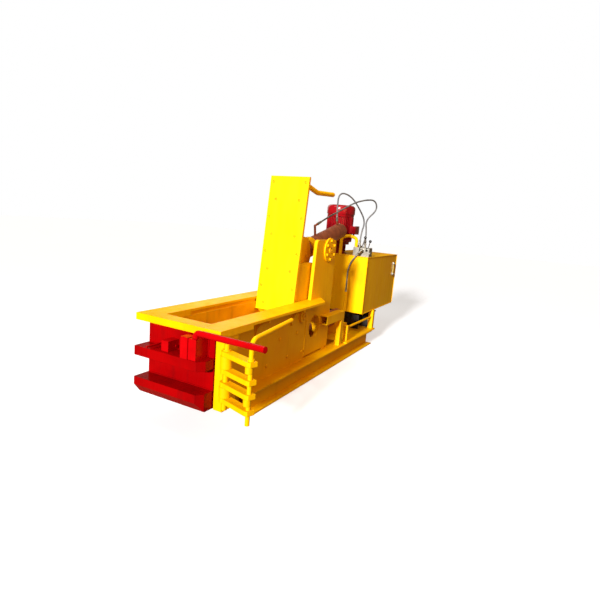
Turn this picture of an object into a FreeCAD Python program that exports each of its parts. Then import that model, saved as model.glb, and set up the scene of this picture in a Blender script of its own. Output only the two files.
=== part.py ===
import FreeCAD, Part
import math
import os

# Small hydraulic scrap baling press, millimetres, +Z up.
# The door faces -Y, the tank is at +Y, the bar lock is on the +X side.
# Lengths along Y are measured from the front face of the rim, then moved by FRONT.

FRONT = -1500.0

# Main sizes
RIM_TOP = 690.0
RIM_HALF = 350.0
RIM_LENGTH = 1460.0
BEAM_HEIGHT = 168.0
BEAM_IN = 197.0
BEAM_OUT = 333.0
BEAM_FRONT = 430.0
BEAM_REAR = 2920.0
WALL_IN = 197.0
WALL_OUT = 227.0
WALL_REAR = 1850.0
WALL_SPLIT = 1360.0
LINER_IN = 189.0
FLOOR_TOP = 205.0
POST_TOP = 1216.0
DOOR_FACE = 45.0
DOOR_BACK = 85.0
CHAMBER_FRONT = 90.0
THROAT_FRONT = 108.0

# Clearances
RUN = 0.09
SEAT = 0.3
SLIDE = 0.5
SIDE_GAP = 4.0
DOOR_GAP = 3.0

# Centres of turning pieces: (Y, Z) or (X, Y)
LID_HINGE = (1273.0, 572.0)
LID_FOOT = (1172.0, 587.0)
LID_LEAN = 5.7
TRUNNION = (1709.0, 1125.0)
LID_PIN = (1490.0, 1075.0)
DOOR_HINGE = (-252.0, 112.0)
LOCK_PIN = (380.0, 28.0)
CAM_PIN = (600.0, -40.0)
DOOR_LEVER = (200.0, -45.0)
RAM_AXIS = 333.0
TANK_FRONT = 2593.0
TANK_REAR = 3713.0
TANK_HALF = 296.0
TANK_BOTTOM = 400.0
TANK_TOP = 1024.0
MOTOR = (-150.0, 2780.0)

V = FreeCAD.Vector
X_AXIS = V(1, 0, 0)
Y_AXIS = V(0, 1, 0)
Z_AXIS = V(0, 0, 1)


def box(x0, x1, y0, y1, z0, z1):
    return Part.makeBox(x1 - x0, y1 - y0, z1 - z0, V(x0, y0, z0))


def rod(radius, start, end):
    a = V(*start)
    b = V(*end)
    return Part.makeCylinder(radius, (b - a).Length, a, b - a)


def ring(outer, inner, start, end):
    return rod(outer, start, end).cut(rod(inner, start, end))


def side_plate(outline, x0, x1):
    """A plate across X from a (Y, Z) outline."""
    points = [V(x0, y, z) for y, z in outline]
    face = Part.Face(Part.makePolygon(points + [points[0]]))
    return face.extrude(V(x1 - x0, 0, 0))


def flat_plate(outline, z0, z1):
    """A level plate from an (X, Y) outline."""
    points = [V(x, y, z0) for x, y in outline]
    face = Part.Face(Part.makePolygon(points + [points[0]]))
    return face.extrude(V(0, 0, z1 - z0))


def bent_pipe(points, bends, outer, inner):
    """A pipe through straight runs and tangent arcs, closed at its ends by nothing."""
    points = [V(*p) for p in points]
    edges = []
    last = points[0]
    for index, radius in enumerate(bends):
        corner = points[index + 1]
        back = (points[index] - corner).normalize()
        ahead = (points[index + 2] - corner).normalize()
        half = (math.pi - back.getAngle(ahead)) / 2
        set_back = radius * math.tan(half)
        start = corner + back * set_back
        end = corner + ahead * set_back
        middle = corner + (back + ahead).normalize() * (radius / math.cos(half) - radius)
        edges.append(Part.LineSegment(last, start).toShape())
        edges.append(Part.Arc(start, middle, end).toShape())
        last = end
    edges.append(Part.LineSegment(last, points[-1]).toShape())
    path = Part.Wire(edges)
    heading = points[1] - points[0]
    shell = None
    for radius in (outer, inner):
        if radius > 0:
            profile = Part.Wire(Part.makeCircle(radius, points[0], heading))
            solid = path.makePipeShell([profile], True, False)
            shell = solid if shell is None else shell.cut(solid)
    return shell


def mirrored(shape):
    return shape.mirror(V(0, 0, 0), X_AXIS)


def joined(first, *others):
    return first.fuse(list(others)).removeSplitter()


def leaned(shape):
    """Lid pieces are drawn upright with the foot corner at LID_FOOT, then leaned back."""
    shape = shape.copy()
    shape.rotate(V(0, LID_FOOT[0], LID_FOOT[1]), X_AXIS, -LID_LEAN)
    return shape


parts = {}


def keep(name, shape):
    shape = shape.copy()
    shape.translate(V(0, FRONT, 0))
    parts[name] = shape


def keep_pair(name, *shapes):
    """Like pieces on both sides of the press share one node."""
    both = list(shapes)
    for shape in shapes:
        both.append(mirrored(shape))
    keep(name, Part.makeCompound(both))


def hose(points, thickness):
    """A flexible hose: every arc is as wide as its two straight runs allow."""
    bends = []
    for index in range(1, len(points) - 1):
        back = V(*points[index]) - V(*points[index - 1])
        ahead = V(*points[index + 1]) - V(*points[index])
        half = back.getAngle(ahead) / 2
        bends.append(0.45 * min(back.Length, ahead.Length) / math.tan(half))
    print("hose radii", [round(radius) for radius in bends])
    return bent_pipe(points, bends, thickness / 2, 0)


# Base: two wide-flange beams joined by box cross members.
WEB = 8.0
FLANGE = 13.0
beam = box(BEAM_IN, BEAM_OUT, BEAM_FRONT, BEAM_REAR, 0, BEAM_HEIGHT)
web_middle = (BEAM_IN + BEAM_OUT) / 2
for x0, x1 in ((BEAM_IN, web_middle - WEB / 2), (web_middle + WEB / 2, BEAM_OUT)):
    beam = beam.cut(box(x0, x1, BEAM_FRONT, BEAM_REAR, FLANGE, BEAM_HEIGHT - FLANGE))
keep_pair("base_beams", beam)

members = []
for middle in (500.0, 1500.0, 2200.0, 2800.0):
    member = box(-BEAM_IN, BEAM_IN, middle - 60, middle + 60, 0, BEAM_HEIGHT)
    member = member.cut(box(-BEAM_IN, BEAM_IN, middle - 50, middle + 50, 10, BEAM_HEIGHT - 10))
    members.append(member)
TRAY_TOP = BEAM_HEIGHT + 10
tray = box(-BEAM_OUT, BEAM_OUT, 2120, BEAM_REAR + 82, BEAM_HEIGHT, TRAY_TOP)
keep("cross_members", Part.makeCompound(members + [tray]))

BAND_DEPTH = 47.0

# Chamber: floor, walls with bolted liners, raised rear parts that carry the lid cylinder.
keep("floor_plate", box(-WALL_IN, WALL_IN, CHAMBER_FRONT, WALL_REAR, BEAM_HEIGHT, FLOOR_TOP))

wall = box(WALL_IN, WALL_OUT, CHAMBER_FRONT, WALL_SPLIT, BEAM_HEIGHT, RIM_TOP - 20)
wall = wall.cut(rod(30 + RUN, (150, *LID_HINGE), (300, *LID_HINGE)))
wall = wall.cut(box(WALL_IN, WALL_OUT, CHAMBER_FRONT, THROAT_FRONT, RIM_TOP - BAND_DEPTH, RIM_TOP))
LINER_BOLTS = [(y, 435) for y in (340, 630, 921, 1205)] + [(y, 258) for y in (430, 744, 1060)]
for y, z in LINER_BOLTS + [(1320, 250)]:
    stud = Part.makeCone(15, 9, 11, V(WALL_OUT, y, z), X_AXIS)
    wall = wall.fuse(stud)
wall = wall.removeSplitter()
keep_pair("walls", wall)

LINER_REAR = 1180.0
liner = box(LINER_IN, WALL_IN, THROAT_FRONT, LINER_REAR, FLOOR_TOP, RIM_TOP - BAND_DEPTH)
keep_pair("liners", liner)

POST_RADIUS = 42.0
HOLE = (1535.0, 432.0)
post = side_plate(
    [
        (WALL_SPLIT, BEAM_HEIGHT + 18),
        (WALL_REAR, BEAM_HEIGHT + 18),
        (WALL_REAR + 14, POST_TOP),
        (1455, POST_TOP),
        (1420, RIM_TOP - 20),
        (WALL_SPLIT, RIM_TOP - 20),
    ],
    WALL_IN,
    WALL_OUT,
)
corner_edges = [
    e for e in post.Edges
    if abs(e.Vertexes[0].Z - POST_TOP) < 1 and abs(e.Vertexes[-1].Z - POST_TOP) < 1 and e.Length < 40
]
post = post.makeFillet(POST_RADIUS, corner_edges)
post = post.cut(rod(105, (150, *HOLE), (300, *HOLE)))
post = post.cut(rod(30 + RUN, (150, *TRUNNION), (300, *TRUNNION)))
pad = box(WALL_IN, WALL_OUT, 1740, 1800, BEAM_HEIGHT, BEAM_HEIGHT + 18)
post = joined(post, pad)
keep_pair("posts", post)

DISC = 110.0
disc = ring(DISC, 30 + RUN, (WALL_OUT, *TRUNNION), (WALL_OUT + 14, *TRUNNION))
for number in range(6):
    turn = math.radians(30 + 60 * number)
    y = TRUNNION[0] + 84 * math.cos(turn)
    z = TRUNNION[1] + 84 * math.sin(turn)
    disc = disc.fuse(rod(11, (WALL_OUT + 14, y, z), (WALL_OUT + 23, y, z)))
bushing = ring(58, 30 + RUN, (WALL_OUT, *LID_HINGE), (WALL_OUT + 22, *LID_HINGE))
keep_pair("bearing_discs", disc.removeSplitter(), bushing)

bulkhead = box(-WALL_IN, WALL_IN, 1800, WALL_REAR - 2, FLOOR_TOP, 560)
bulkhead = bulkhead.cut(rod(85 + SEAT, (0, 1700, RAM_AXIS), (0, 1900, RAM_AXIS)))

# Rim: a deep front bar, deep bands behind it, then thin bars resting on the walls.
BAND_REAR = 350.0
rim_front = box(-RIM_HALF, RIM_HALF, 0, THROAT_FRONT, RIM_TOP - BAND_DEPTH, RIM_TOP)
band = box(LINER_IN, RIM_HALF, THROAT_FRONT, BAND_REAR, RIM_TOP - BAND_DEPTH, RIM_TOP)
band = band.cut(box(WALL_IN, WALL_OUT, THROAT_FRONT, BAND_REAR, RIM_TOP - BAND_DEPTH, RIM_TOP - 20))
keep("rim_front", joined(rim_front, band, mirrored(band)))
bar_outline = [
    (LINER_IN, BAND_REAR),
    (RIM_HALF, BAND_REAR),
    (RIM_HALF, RIM_LENGTH),
    (WALL_OUT + 10, 1616),
    (WALL_OUT, 1616),
    (WALL_OUT, 1418),
    (LINER_IN, 1418),
]
bar = flat_plate(bar_outline, RIM_TOP - 20, RIM_TOP)
post_room = side_plate([(1400, 560), (1860, 560), (1870, 760), (1423, 760)], WALL_IN - 20, WALL_OUT)
keep_pair("rim_bars", bar.cut(post_room))

gussets = []
for y in (560.0, 1085.0):
    arc = rod(104, (345, y - 6, 545), (345, y + 6, 545))
    gusset = box(WALL_OUT, 345, y - 6, y + 6, 520, RIM_TOP - 20)
    gusset = gusset.cut(arc)
    gusset = gusset.cut(box(260, 345, y - 6, y + 6, 520, 545))
    gussets.append(gusset)
keep_pair("gussets", *gussets)

# Front column beside the door, with the lock barrels on its corner.
column = box(WALL_OUT, 346, CHAMBER_FRONT, 190, BEAM_HEIGHT, RIM_TOP - BAND_DEPTH)
column = joined(column, box(285, 346, DOOR_FACE, CHAMBER_FRONT, BEAM_HEIGHT, RIM_TOP - BAND_DEPTH))
keep("lock_column", column)

ARM_LEVELS = ((545.0, 575.0), (437.0, 467.0), (352.0, 382.0), (255.0, 285.0))
LOCK_RADIUS = 16.0
barrels = []
for low, high in ((ARM_LEVELS[1][1], ARM_LEVELS[0][0]), (ARM_LEVELS[3][1], ARM_LEVELS[2][0])):
    low = low + SLIDE
    high = high - SLIDE
    lug = box(346, 366, 30, 66, low, high)
    body = joined(rod(36, (*LOCK_PIN, low), (*LOCK_PIN, high)), lug)
    body = body.cut(box(285, 346, DOOR_FACE, 120, low, high))
    body = body.cut(rod(LOCK_RADIUS + RUN, (*LOCK_PIN, low), (*LOCK_PIN, high)))
    barrels.append(body)
keep("lock_barrels", Part.makeCompound(barrels))

# Door hinge on the far side: frame knuckles, pin.
KNUCKLE = 24.0
knuckles = []
for low, high in ((215, 265), (560, 610)):
    knuckle = rod(KNUCKLE, (*DOOR_HINGE, low), (*DOOR_HINGE, high))
    knuckle = joined(knuckle, box(DOOR_HINGE[0], -WALL_OUT, 100, 124, low, high))
    knuckle = knuckle.cut(rod(12 + RUN, (*DOOR_HINGE, low), (*DOOR_HINGE, high)))
    knuckles.append(knuckle)
keep("frame_knuckles", Part.makeCompound(knuckles))
hinge_pin = rod(12, (*DOOR_HINGE, 195), (*DOOR_HINGE, 622))
hinge_pin = joined(hinge_pin, rod(17, (*DOOR_HINGE, 610), (*DOOR_HINGE, 622)))
keep("door_hinge_pin", hinge_pin)

# Door: thick plate, two deep ribs with cut-off ends, stiffener and lever sleeve.
DOOR_LEFT = -272.0
DOOR_RIGHT = 277.0
DOOR_BOTTOM = 172.0
DOOR_TOP = RIM_TOP - BAND_DEPTH - DOOR_GAP
keep("door_plate", box(DOOR_LEFT, DOOR_RIGHT, DOOR_FACE, DOOR_BACK, DOOR_BOTTOM, DOOR_TOP))
RIB_FRONT = -80.0
rib_outline = [
    (DOOR_LEFT, DOOR_FACE),
    (DOOR_LEFT, RIB_FRONT),
    (240, RIB_FRONT),
    (DOOR_RIGHT, RIB_FRONT + 44),
    (DOOR_RIGHT, DOOR_FACE),
]
UPPER_RIB = (436.0, 498.0)
upper_rib = flat_plate(rib_outline, *UPPER_RIB)
upper_rib = upper_rib.cut(rod(LOCK_RADIUS + RUN, (*DOOR_LEVER, 470), (*DOOR_LEVER, 500)))
keep("door_rib_upper", upper_rib)
LOWER_RIB = (174.0, 290.0)
lower_rib = flat_plate(rib_outline, *LOWER_RIB)
under_cut = side_plate([(-85, 170), (-85, 236), (-80, 236), (-26, 170)], -300, 300)
lower_rib = lower_rib.cut(under_cut)
keep("door_rib_lower", lower_rib)
stiffener = box(112, 168, RIB_FRONT, DOOR_FACE, UPPER_RIB[1], DOOR_TOP - 6)
sleeve = box(168, 228, -73, DOOR_FACE, UPPER_RIB[1], DOOR_TOP - 10)
sleeve = sleeve.cut(rod(LOCK_RADIUS + RUN, (*DOOR_LEVER, 490), (*DOOR_LEVER, 650)))
BOLT_Z = 524.0
guide = box(-70, -12, -50, DOOR_FACE, UPPER_RIB[1], 566)
guide = guide.cut(rod(9 + RUN, (-80, 20, BOLT_Z), (0, 20, BOLT_Z)))
keep("door_stiffener", Part.makeCompound([joined(stiffener, sleeve), guide]))
knuckles = []
for low, high in ((266, 316), (509, 559)):
    knuckle = rod(KNUCKLE, (*DOOR_HINGE, low), (*DOOR_HINGE, high))
    strap = box(DOOR_HINGE[0] - 16, DOOR_HINGE[0] + 12, DOOR_BACK, DOOR_HINGE[1], low, high)
    knuckle = joined(knuckle, strap)
    knuckle = knuckle.cut(rod(12 + RUN, (*DOOR_HINGE, low), (*DOOR_HINGE, high)))
    knuckles.append(knuckle)
keep("door_knuckles", Part.makeCompound(knuckles))

bolt = rod(9, (-138, 20, BOLT_Z), (-8, 20, BOLT_Z))
bolt = joined(bolt, rod(6, (-127, 20, BOLT_Z), (-127, -118, BOLT_Z)))
keep("slide_bolt", bolt)

PIPE = 19.0
lever_z = 664.0
lever_shaft = rod(LOCK_RADIUS, (*DOOR_LEVER, 471), (*DOOR_LEVER, lever_z - 32))
arm_tip = (736.0, -118.0, lever_z + 24)
lever_arm = bent_pipe(
    [(*DOOR_LEVER, lever_z - 32), (*DOOR_LEVER, lever_z), arm_tip],
    [30.0],
    PIPE,
    0,
)
keep("door_lever", joined(lever_shaft, lever_arm))

# Bar lock: four arms on one pin, a cam shaft through their outer ends.
reach = V(CAM_PIN[0] - LOCK_PIN[0], CAM_PIN[1] - LOCK_PIN[1], 0)
across = V(-reach.y, reach.x, 0).normalize()
arms = []
for low, high in ARM_LEVELS:
    a = V(*LOCK_PIN, low)
    b = V(*CAM_PIN, low)
    outline = []
    for point, side in ((a, 1), (b, 1), (b, -1), (a, -1)):
        outline.append(point + across * (30.0 * side))
    arm = Part.Face(Part.makePolygon(outline + [outline[0]])).extrude(V(0, 0, high - low))
    arm = arm.fuse(rod(33, (*LOCK_PIN, low), (*LOCK_PIN, high)))
    tip = b + reach.normalize() * 24.0
    corners = [b + across * 30.0, tip + across * 30.0, tip - across * 22.0, b - across * 30.0]
    end = Part.Face(Part.makePolygon(corners + [corners[0]])).extrude(V(0, 0, high - low))
    arm = joined(arm, end)
    arm = arm.cut(rod(LOCK_RADIUS + RUN, (*LOCK_PIN, low), (*LOCK_PIN, high)))
    arm = arm.cut(rod(14 + RUN, (*CAM_PIN, low), (*CAM_PIN, high)))
    arms.append(arm)
keep("lock_arms", Part.makeCompound(arms))
lock_pin = rod(LOCK_RADIUS, (*LOCK_PIN, 200), (*LOCK_PIN, 618))
collar_top = rod(24, (*LOCK_PIN, ARM_LEVELS[0][1]), (*LOCK_PIN, ARM_LEVELS[0][1] + 10))
keep("lock_pin", joined(lock_pin, collar_top))

cam_shaft = rod(14, (*CAM_PIN, 190), (*CAM_PIN, 656))
for low in (ARM_LEVELS[0][0], ARM_LEVELS[2][0]):
    cam = Part.makeCylinder(23, 40, V(CAM_PIN[0] - 7, CAM_PIN[1] - 5, low - 41))
    cam_shaft = cam_shaft.fuse(cam)
cam_shaft = cam_shaft.fuse(rod(20, (*CAM_PIN, 576), (*CAM_PIN, 590)))
cam_lever = bent_pipe(
    [(*CAM_PIN, 640), (*CAM_PIN, 700), (600, 400, 742)],
    [45.0],
    14.0,
    0,
)
keep("cam_shaft", joined(cam_shaft, cam_lever))

# Lid: drawn upright, leaned back afterwards.
LID_LENGTH = 1144.0
LID_THICK = 26.0
LID_HALF = LINER_IN - SIDE_GAP
foot_y, foot_z = LID_FOOT
back_y = foot_y + LID_THICK
lid_plate = box(-LID_HALF, LID_HALF, foot_y, back_y, foot_z, foot_z + LID_LENGTH)
for row in range(8):
    z = foot_z + 60 + row * 148
    for side in (-1, 1):
        x = side * (112 + 42 * (row % 2))
        lid_plate = lid_plate.cut(rod(11, (x, foot_y, z), (x, foot_y + 4, z)))
keep("lid_plate", leaned(lid_plate))
low_y = back_y + 150
rib = side_plate(
    [
        (back_y, foot_z + 150),
        (low_y, foot_z + 150),
        (low_y, foot_z + 330),
        (back_y + 70, foot_z + 520),
        (back_y + 60, foot_z + LID_LENGTH - 40),
        (back_y, foot_z + LID_LENGTH - 10),
    ],
    118,
    138,
)
keep_pair("lid_ribs", leaned(rib))

# Hinge arms reach from the lid's back to the shaft; the shaft turns in the walls.
hinge_y, hinge_z = LID_HINGE
turn = math.radians(LID_LEAN)
off_y = hinge_y - foot_y
off_z = hinge_z - foot_z
local_hinge = (
    foot_y + off_y * math.cos(turn) - off_z * math.sin(turn),
    foot_z + off_y * math.sin(turn) + off_z * math.cos(turn),
)
ARM_DEPTH = 262.0
arm = side_plate(
    [
        (back_y, foot_z + 18),
        (local_hinge[0], local_hinge[1] - 50),
        (local_hinge[0] + 52, local_hinge[1]),
        (local_hinge[0] + 52, foot_z + 70),
        (back_y + ARM_DEPTH + 30, foot_z + 105),
        (back_y + ARM_DEPTH, foot_z + 454),
        (back_y, foot_z + 430),
    ],
    140,
    180,
)
arm = arm.cut(rod(30 + SEAT, (130, *local_hinge), (190, *local_hinge)))
keep_pair("lid_arms", leaned(arm))
keep("lid_shaft", rod(30, (-WALL_OUT - 30, *LID_HINGE), (WALL_OUT + 30, *LID_HINGE)))

# Clevis bracket on the lid's back for the lid cylinder's rod, wide enough to pass the barrel.
CHEEK_IN = 86.0
off_y = LID_PIN[0] - foot_y
off_z = LID_PIN[1] - foot_z
local_pin = (
    foot_y + off_y * math.cos(turn) - off_z * math.sin(turn),
    foot_z + off_y * math.sin(turn) + off_z * math.cos(turn),
)
cheek = side_plate(
    [
        (back_y, local_pin[1] - 108),
        (local_pin[0] + 70, local_pin[1] - 92),
        (local_pin[0] + 92, local_pin[1] - 20),
        (local_pin[0] + 60, local_pin[1] + 70),
        (local_pin[0] + 6, local_pin[1] + 150),
        (back_y, local_pin[1] + 156),
    ],
    CHEEK_IN,
    CHEEK_IN + 20,
)
stub = rod(20, (27, *local_pin), (CHEEK_IN + 30, *local_pin))
keep_pair("lid_cheeks", leaned(joined(cheek, stub)))

horn = bent_pipe(
    [
        (160, back_y - 9, foot_z + 1079),
        (160, back_y + 198, foot_z + 1056),
        (160, back_y + 522, foot_z + 1099),
    ],
    [160.0],
    21.0,
    16.0,
)
horn = horn.cut(box(100, 220, back_y - 40, back_y, foot_z + 1000, foot_z + 1140))
keep("lid_horn", leaned(horn))

# Lid cylinder, drawn level behind its trunnion, then tilted so the rod end is low.
TILT = math.degrees(math.atan2(TRUNNION[1] - LID_PIN[1], TRUNNION[0] - LID_PIN[0]))
PIN_REACH = math.hypot(TRUNNION[0] - LID_PIN[0], TRUNNION[1] - LID_PIN[1])
BARREL = 78.0
tilt_y, tilt_z = TRUNNION


def tilted(shape):
    shape = shape.copy()
    shape.rotate(V(0, tilt_y, tilt_z), X_AXIS, TILT)
    return shape


LID_STROKE = 808.7
barrel_front = tilt_y - PIN_REACH + 62
lid_barrel = ring(BARREL, 60, (0, barrel_front + 30, tilt_z), (0, tilt_y + 735, tilt_z))
cap = rod(BARREL, (0, tilt_y + 735, tilt_z), (0, tilt_y + 760, tilt_z))
lid_barrel = joined(lid_barrel, cap)
ports = ((165, BARREL + 95), (680, BARREL + 40))
port_points = []
lean = math.radians(TILT)
for reach, height in ports:
    y = tilt_y + reach
    lid_barrel = lid_barrel.fuse(rod(11, (0, y, tilt_z + 66), (0, y, tilt_z + height)))
    y = tilt_y + reach * math.cos(lean) - height * math.sin(lean)
    z = tilt_z + reach * math.sin(lean) + height * math.cos(lean)
    port_points.append(V(0, y, z))
rod_elbow = port_points[0]
rod_way = V(0.306, 0.82, 0.48).normalize()
elbow = Part.makeSphere(12, rod_elbow).fuse(rod(10, tuple(rod_elbow), tuple(rod_elbow + rod_way * 34)))
keep("lid_barrel", tilted(lid_barrel).fuse(elbow).removeSplitter())
gland = ring(BARREL, 22 + RUN, (0, barrel_front, tilt_z), (0, barrel_front + 30, tilt_z))
keep("lid_gland", tilted(gland))
collar = ring(94, BARREL + SEAT, (0, tilt_y - 42, tilt_z), (0, tilt_y + 42, tilt_z))
for x0, x1 in ((84, WALL_OUT + 20), (-WALL_OUT - 20, -84)):
    collar = collar.fuse(rod(30, (x0, tilt_y, tilt_z), (x1, tilt_y, tilt_z)))
collar = collar.cut(rod(BARREL + SEAT, (0, tilt_y - 50, tilt_z), (0, tilt_y + 50, tilt_z)))
keep("lid_trunnion", tilted(collar))
eye_y = tilt_y - PIN_REACH
piston_y = barrel_front + 30 + LID_STROKE + 4
lid_rod = rod(22, (0, eye_y + 20, tilt_z), (0, piston_y, tilt_z))
piston = rod(60 - RUN, (0, piston_y, tilt_z), (0, piston_y + 40, tilt_z))
eye = rod(40, (-25, eye_y, tilt_z), (25, eye_y, tilt_z))
lid_rod = joined(lid_rod, piston, eye)
lid_rod = lid_rod.cut(rod(20 + RUN, (-30, eye_y, tilt_z), (30, eye_y, tilt_z)))
keep("lid_rod", tilted(lid_rod))

# Ram and main cylinder.
RAM_TOP = 462.0
RAM_FRONT = 1292.0
RAM_STROKE = 1000.0
platen = box(-LINER_IN + SLIDE, LINER_IN - SLIDE, RAM_FRONT, RAM_FRONT + 40, FLOOR_TOP + SLIDE, RAM_TOP)
ram_body = box(-150, 150, RAM_FRONT + 40, RAM_FRONT + 130, FLOOR_TOP + SLIDE, RAM_TOP - 20)
keep("ram", joined(platen, ram_body))
main_front = 1462.0
main_rear = 2570.0
piston_y = main_front + 45 + RAM_STROKE + 4
main_rod = rod(45, (0, RAM_FRONT + 130, RAM_AXIS), (0, piston_y, RAM_AXIS))
main_piston = rod(70 - RUN, (0, piston_y, RAM_AXIS), (0, piston_y + 50, RAM_AXIS))
keep("main_rod", joined(main_rod, main_piston))
main_barrel = ring(85, 70, (0, main_front + 45, RAM_AXIS), (0, main_rear, RAM_AXIS))
main_barrel = joined(main_barrel, rod(85, (0, main_rear, RAM_AXIS), (0, main_rear + 20, RAM_AXIS)))
PORT_Y = 2500.0
PORT_Z = 290.0
main_port = rod(13, (40, PORT_Y, PORT_Z), (88, PORT_Y, PORT_Z))
main_port = main_port.cut(rod(72, (0, main_front, RAM_AXIS), (0, main_rear, RAM_AXIS)))
keep("main_barrel", joined(main_barrel, main_port))
gland = ring(85, 45 + RUN, (0, main_front, RAM_AXIS), (0, main_front + 45, RAM_AXIS))
keep("main_gland", gland)
cradle = box(-BEAM_IN, BEAM_IN, 2370, 2430, TRAY_TOP, RAM_AXIS - 20)
cradle = cradle.cut(rod(85 + SEAT, (0, 2300, RAM_AXIS), (0, 2500, RAM_AXIS)))
keep("cylinder_supports", Part.makeCompound([bulkhead, cradle]))

# Rear frame: square tubes from the posts to the tank, legs, tie rod.
TUBE = (WALL_OUT, 303.0, 436.0, 516.0)
tube = box(TUBE[0], TUBE[1], 1650, 2060, TUBE[2], TUBE[3])
tube = tube.cut(box(TUBE[0] + 5, TUBE[1] - 5, 1650, 2060, TUBE[2] + 5, TUBE[3] - 5))
keep_pair("side_tubes", tube)
front_leg = box(258, 303, 1990, 2056, BEAM_HEIGHT, TUBE[2])
rear_leg = box(262, 318, 2935, 2990, TRAY_TOP, TANK_BOTTOM)
keep_pair("legs", front_leg, rear_leg)
tie_block = box(268, 308, 2175, 2215, TRAY_TOP, 340)
keep("tie_rod", joined(rod(12, (288, 2215, 316), (288, 2935, 316)), tie_block))

# Closing plates under the tank and a saddle that carries its front end.
far_plate = box(-326, -318, 2130, 2990, TRAY_TOP, TANK_BOTTOM)
rear_plate = box(-262, 262, 2976, 2984, TRAY_TOP, TANK_BOTTOM)
saddle = box(-262, 200, 2780, 2792, TRAY_TOP, TANK_BOTTOM)
keep("under_plates", Part.makeCompound([far_plate, rear_plate, saddle]))

# Tank with an overhanging top plate and its fittings.
tank = box(-TANK_HALF, TANK_HALF, TANK_FRONT, TANK_REAR, TANK_BOTTOM, TANK_TOP)
tank = tank.cut(
    box(-TANK_HALF + 4, TANK_HALF - 4, TANK_FRONT + 4, TANK_REAR - 4, TANK_BOTTOM + 4, TANK_TOP)
)
keep("tank", tank)
top = box(-TANK_HALF - 4, TANK_HALF + 4, TANK_FRONT - 2, TANK_REAR + 6, TANK_TOP, TANK_TOP + 8)
top = top.cut(rod(60, (*MOTOR, TANK_TOP - 5), (*MOTOR, TANK_TOP + 20)))
keep("tank_top", top)
TOP = TANK_TOP + 8
gauge_end = TANK_REAR - 117
gauge = box(TANK_HALF, TANK_HALF + 16, gauge_end - 36, gauge_end, 770, 940)
keep("level_gauge", gauge)
drain = rod(15, (250, 3080, TANK_BOTTOM - 60), (250, 3080, TANK_BOTTOM))
drain = joined(drain, box(234, 266, 3064, 3096, TANK_BOTTOM - 44, TANK_BOTTOM - 16))
drain = joined(drain, rod(7, (266, 3080, TANK_BOTTOM - 30), (300, 3080, TANK_BOTTOM - 30)))
keep("drain_valve", drain)
breather_y = TANK_REAR - 153
breather = rod(22, (-180, breather_y, TOP), (-180, breather_y, TOP + 24))
breather = joined(breather, rod(42, (-180, breather_y, TOP + 24), (-180, breather_y, TOP + 74)))
keep("breather", breather)

# Upright motor on a bell housing; the coupling turns inside the bell.
BELL_TOP = TOP + 120
bell = ring(92, 70, (*MOTOR, TOP), (*MOTOR, BELL_TOP))
bell = bell.fuse(ring(125, 70, (*MOTOR, BELL_TOP - 14), (*MOTOR, BELL_TOP)))
bell = bell.fuse(ring(110, 70, (*MOTOR, TOP), (*MOTOR, TOP + 12)))
window = box(MOTOR[0] - 130, MOTOR[0] + 130, MOTOR[1] - 34, MOTOR[1] + 34, TOP + 30, BELL_TOP - 30)
bell = bell.cut(window).removeSplitter()
keep("bell_housing", bell)
motor = rod(125, (*MOTOR, BELL_TOP), (*MOTOR, BELL_TOP + 14))
motor = motor.fuse(rod(152, (*MOTOR, BELL_TOP + 14), (*MOTOR, BELL_TOP + 330)))
motor = motor.cut(rod(20, (*MOTOR, BELL_TOP - 10), (*MOTOR, BELL_TOP + 60)))
keep("motor_body", motor.removeSplitter())
cowl = rod(160, (*MOTOR, BELL_TOP + 330), (*MOTOR, BELL_TOP + 424))
cowl_edge = [e for e in cowl.Edges if len(e.Vertexes) == 1 and e.Vertexes[0].Z > BELL_TOP + 420]
keep("motor_cowl", cowl.makeFillet(30, cowl_edge))
terminal = box(MOTOR[0] + 150, MOTOR[0] + 215, MOTOR[1] - 60, MOTOR[1] + 50, 1265, 1350)
terminal = terminal.cut(rod(152, (*MOTOR, 1200), (*MOTOR, 1400)))
keep("terminal_box", terminal)
coupling = rod(19.5, (*MOTOR, TOP - 4), (*MOTOR, BELL_TOP + 60))
coupling = joined(coupling, rod(48, (*MOTOR, TOP + 36), (*MOTOR, BELL_TOP - 36)))
keep("coupling", coupling)

# Lever valve near the front corner of the tank top.
VALVE = (100.0, 286.0, 2640.0, 2740.0)
valve = box(*VALVE, TOP, TOP + 96)
LEVERS = ((180.0, 2680.0), (256.0, 2680.0))
for x, y in LEVERS:
    valve = valve.cut(box(x - 12, x + 12, y - 60, y + 30, TOP + 58, TOP + 100))
    valve = valve.fuse(rod(6, (x - 14, y, TOP + 80), (x + 14, y, TOP + 80)))
for x, y in ((150, 2692), (205, 2715)):
    valve = valve.fuse(rod(12, (x, y, TOP + 90), (x, y, TOP + 96 + 28)))
elbow = V(215, 2582, TOP + 68)
elbow_way = V(-0.62, -0.08, -0.78).normalize()
elbow_end = elbow + elbow_way * 36
valve = valve.fuse(rod(12, (215, 2642, TOP + 68), tuple(elbow)))
valve = valve.fuse(Part.makeSphere(14, elbow))
valve = valve.fuse(rod(12, tuple(elbow), tuple(elbow_end)))
keep("valve_block", valve.removeSplitter())
for number, (x, y) in enumerate(LEVERS):
    boss = rod(14, (x - 9, y, TOP + 80), (x + 9, y, TOP + 80))
    lean_x = 45 if number == 0 else 30
    rise = 128 if number == 0 else 92
    stick_end = (x + lean_x, y - 34, TOP + 80 + rise)
    stick = rod(5, (x, y, TOP + 80), stick_end)
    knob = Part.makeSphere(15, V(*stick_end))
    lever = joined(boss, stick, knob)
    lever = lever.cut(rod(6 + RUN, (x - 20, y, TOP + 80), (x + 20, y, TOP + 80)))
    keep("valve_lever_%d" % (number + 1), lever)

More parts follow.
